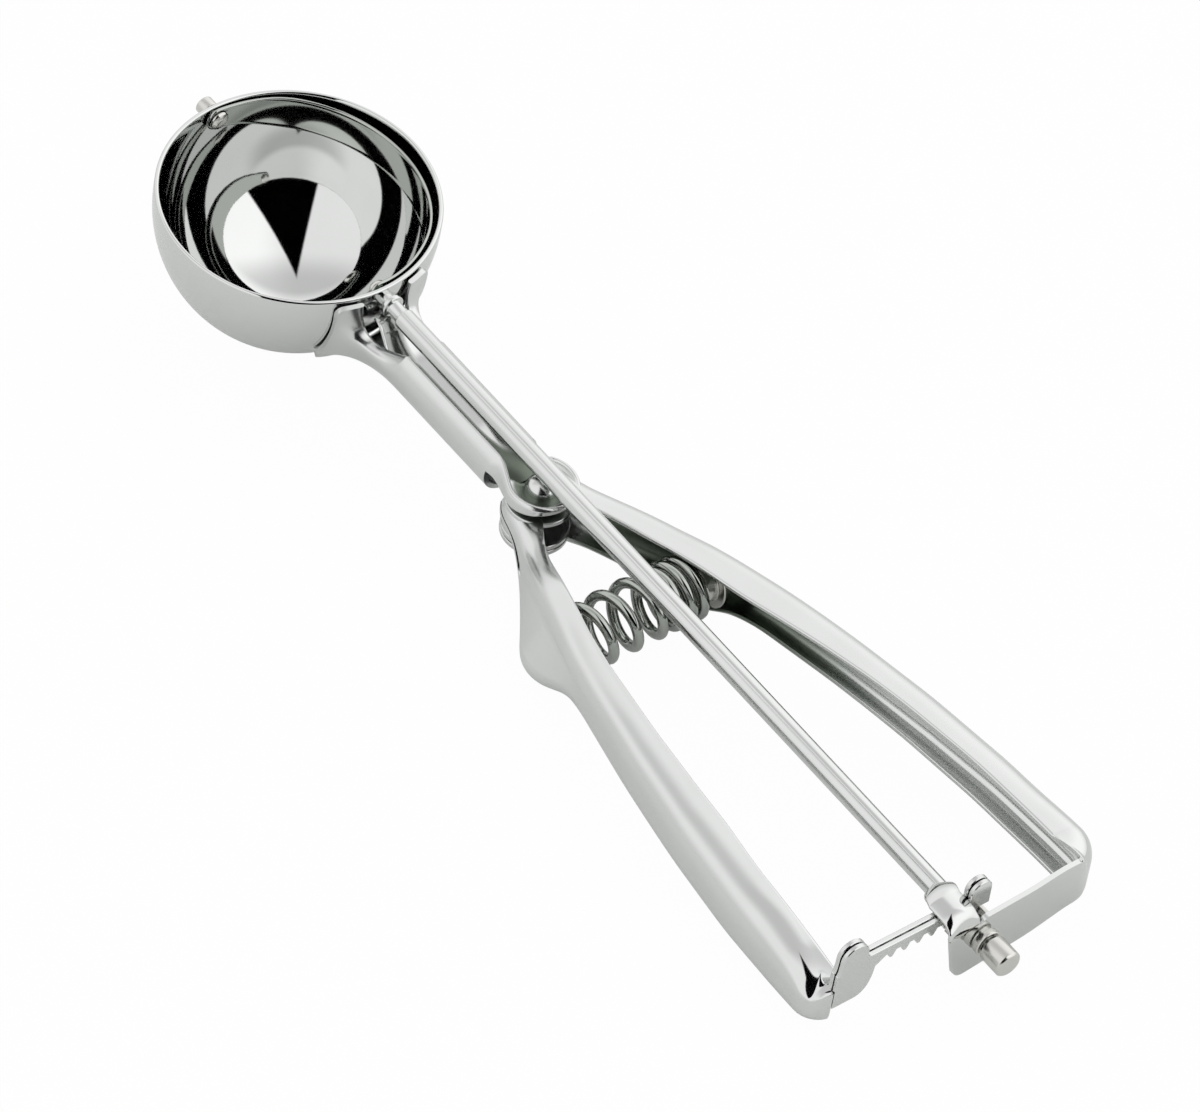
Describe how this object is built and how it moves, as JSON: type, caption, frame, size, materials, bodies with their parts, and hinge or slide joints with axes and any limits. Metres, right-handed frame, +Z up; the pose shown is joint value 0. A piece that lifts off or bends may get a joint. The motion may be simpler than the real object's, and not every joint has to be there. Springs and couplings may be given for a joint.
{
  "type": "portion scoop",
  "caption": "Steel portion scoop with a hemispherical bowl, two squeeze handles, a rack, pinion and spindle, and a curved wiper blade that sweeps the bowl clear.",
  "frame": {"origin": "centre of the footprint, on the surface that the scoop lies on with its bowl opening upward", "axes": "+X from the bowl to the handle ends, +Y towards the fixed handle, +Z up"},
  "size_m": [0.2338, 0.0644, 0.0321],
  "materials": {
    "polished": "mirror-polished stainless steel",
    "satin": "turned stainless steel",
    "wire": "drawn spring wire"
  },
  "bodies": {
    "frame": {"bowl": "polished", "shank": "polished", "right_handle": "polished", "pivot_rivet": "polished", "pivot_washer": "satin", "rear_bush": "satin", "spring_seat_right": "satin", "spring": "wire"},
    "moving_handle": {"left_handle": "polished", "rack_front": "polished", "rack_back": "polished", "spring_seat_left": "satin"},
    "spindle": {"spindle_rod": "polished", "pinion": "satin", "knob": "satin", "wiper_blade": "polished", "wiper_rivet": "satin", "wiper_pin": "satin"}
  },
  "joints": [
    {"name": "handle_squeeze", "type": "hinge", "parent": "frame", "child": "moving_handle", "pos_m": [-0.0161, 0.00197, 0.01035], "axis": [0.0949, 0, 0.9955], "range_deg": [0, 4.4], "stiffness_Nm_per_rad": 18, "springref_deg": -1.6, "deforming": ["spring"]},
    {"name": "spindle_turn", "type": "hinge", "parent": "frame", "child": "spindle", "pos_m": [-0.08822, 0.00197, 0.02727], "axis": [0.9955, 0, -0.0949], "range_deg": [-160, 0]}
  ],
  "couplings": [
    {"joint": "spindle_turn", "follows": "handle_squeeze", "ratio": -36.083}
  ]
}
